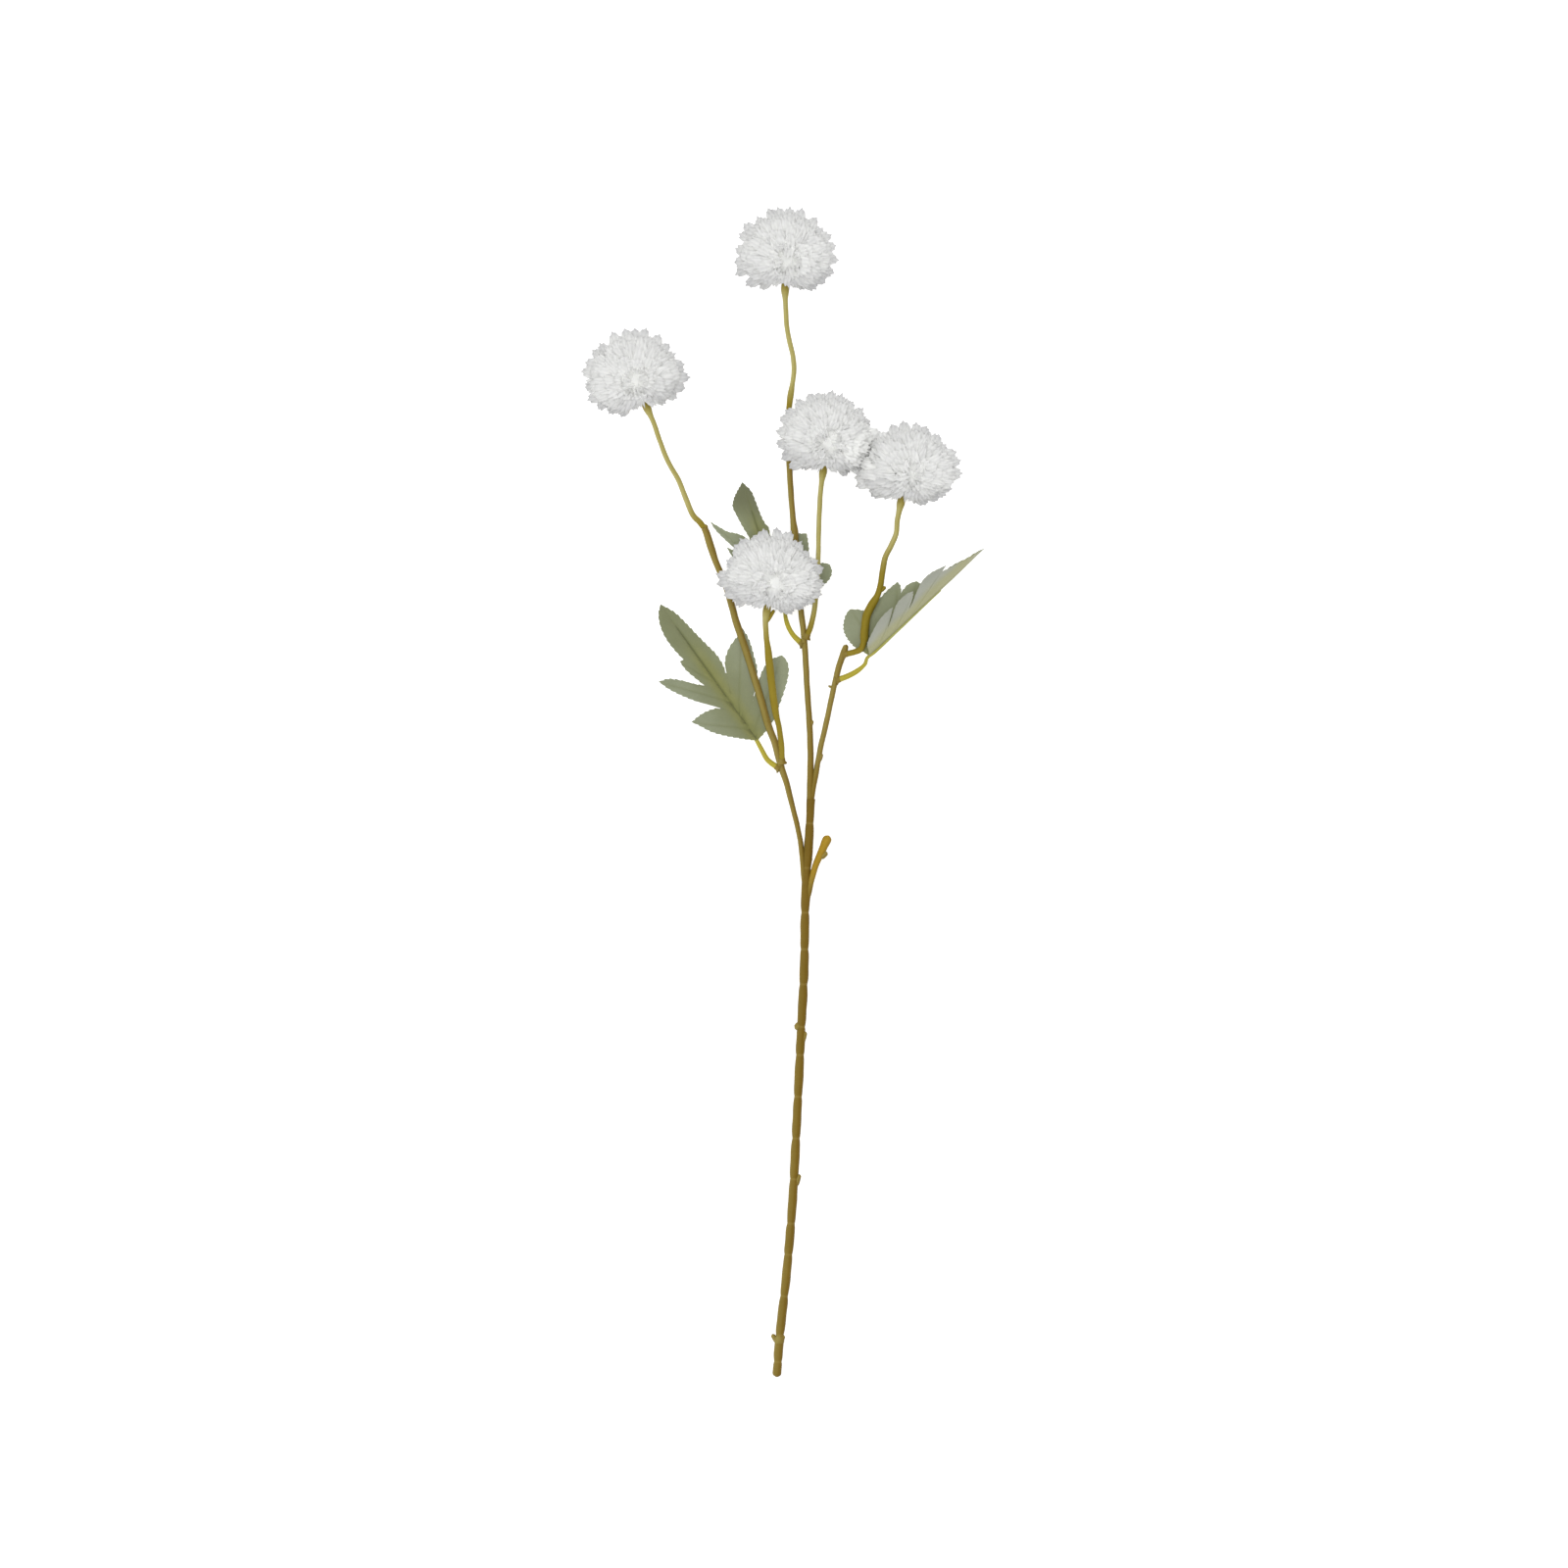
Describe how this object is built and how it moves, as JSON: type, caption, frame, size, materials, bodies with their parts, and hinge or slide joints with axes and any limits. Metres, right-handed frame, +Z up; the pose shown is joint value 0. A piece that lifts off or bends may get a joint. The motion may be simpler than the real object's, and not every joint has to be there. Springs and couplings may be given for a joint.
{
  "type": "artificial chrysanthemum spray",
  "caption": "Cut branching flower stem lying flat, with ringed trunk, thin stalks, lobed leaves and dense white pompon blooms of toothed petals.",
  "frame": {"origin": "on the surface that the spray lies on, under the middle of its bounding box", "axes": "+Y along the stem from the cut end to the topmost bloom, +Z up from the surface"},
  "size_m": [0.205, 0.6002, 0.0584],
  "materials": {
    "stem": "matte, golden olive-brown",
    "stalk": "matte, golden yellow-green",
    "leaf_stalk": "matte, yellow-green",
    "leaf": "woven sage green, with a yellow-green rib",
    "petal": "woven white, slightly see-through at the edges"
  },
  "bodies": {
    "root": {"main_stem": "stem", "flower_stalk_1": "stalk", "flower_stalk_2": "stalk", "flower_stalk_3": "stalk", "flower_stalk_4": "stalk", "flower_stalk_5": "stalk", "leaf_stalk_1": "leaf_stalk", "leaf_stalk_2": "leaf_stalk", "leaf_stalk_3": "leaf_stalk", "leaf_1": "leaf", "leaf_2": "leaf", "leaf_3": "leaf", "bloom_1": "petal", "bloom_2": "petal", "bloom_3": "petal", "bloom_4": "petal", "bloom_5": "petal"}
  },
  "joints": []
}
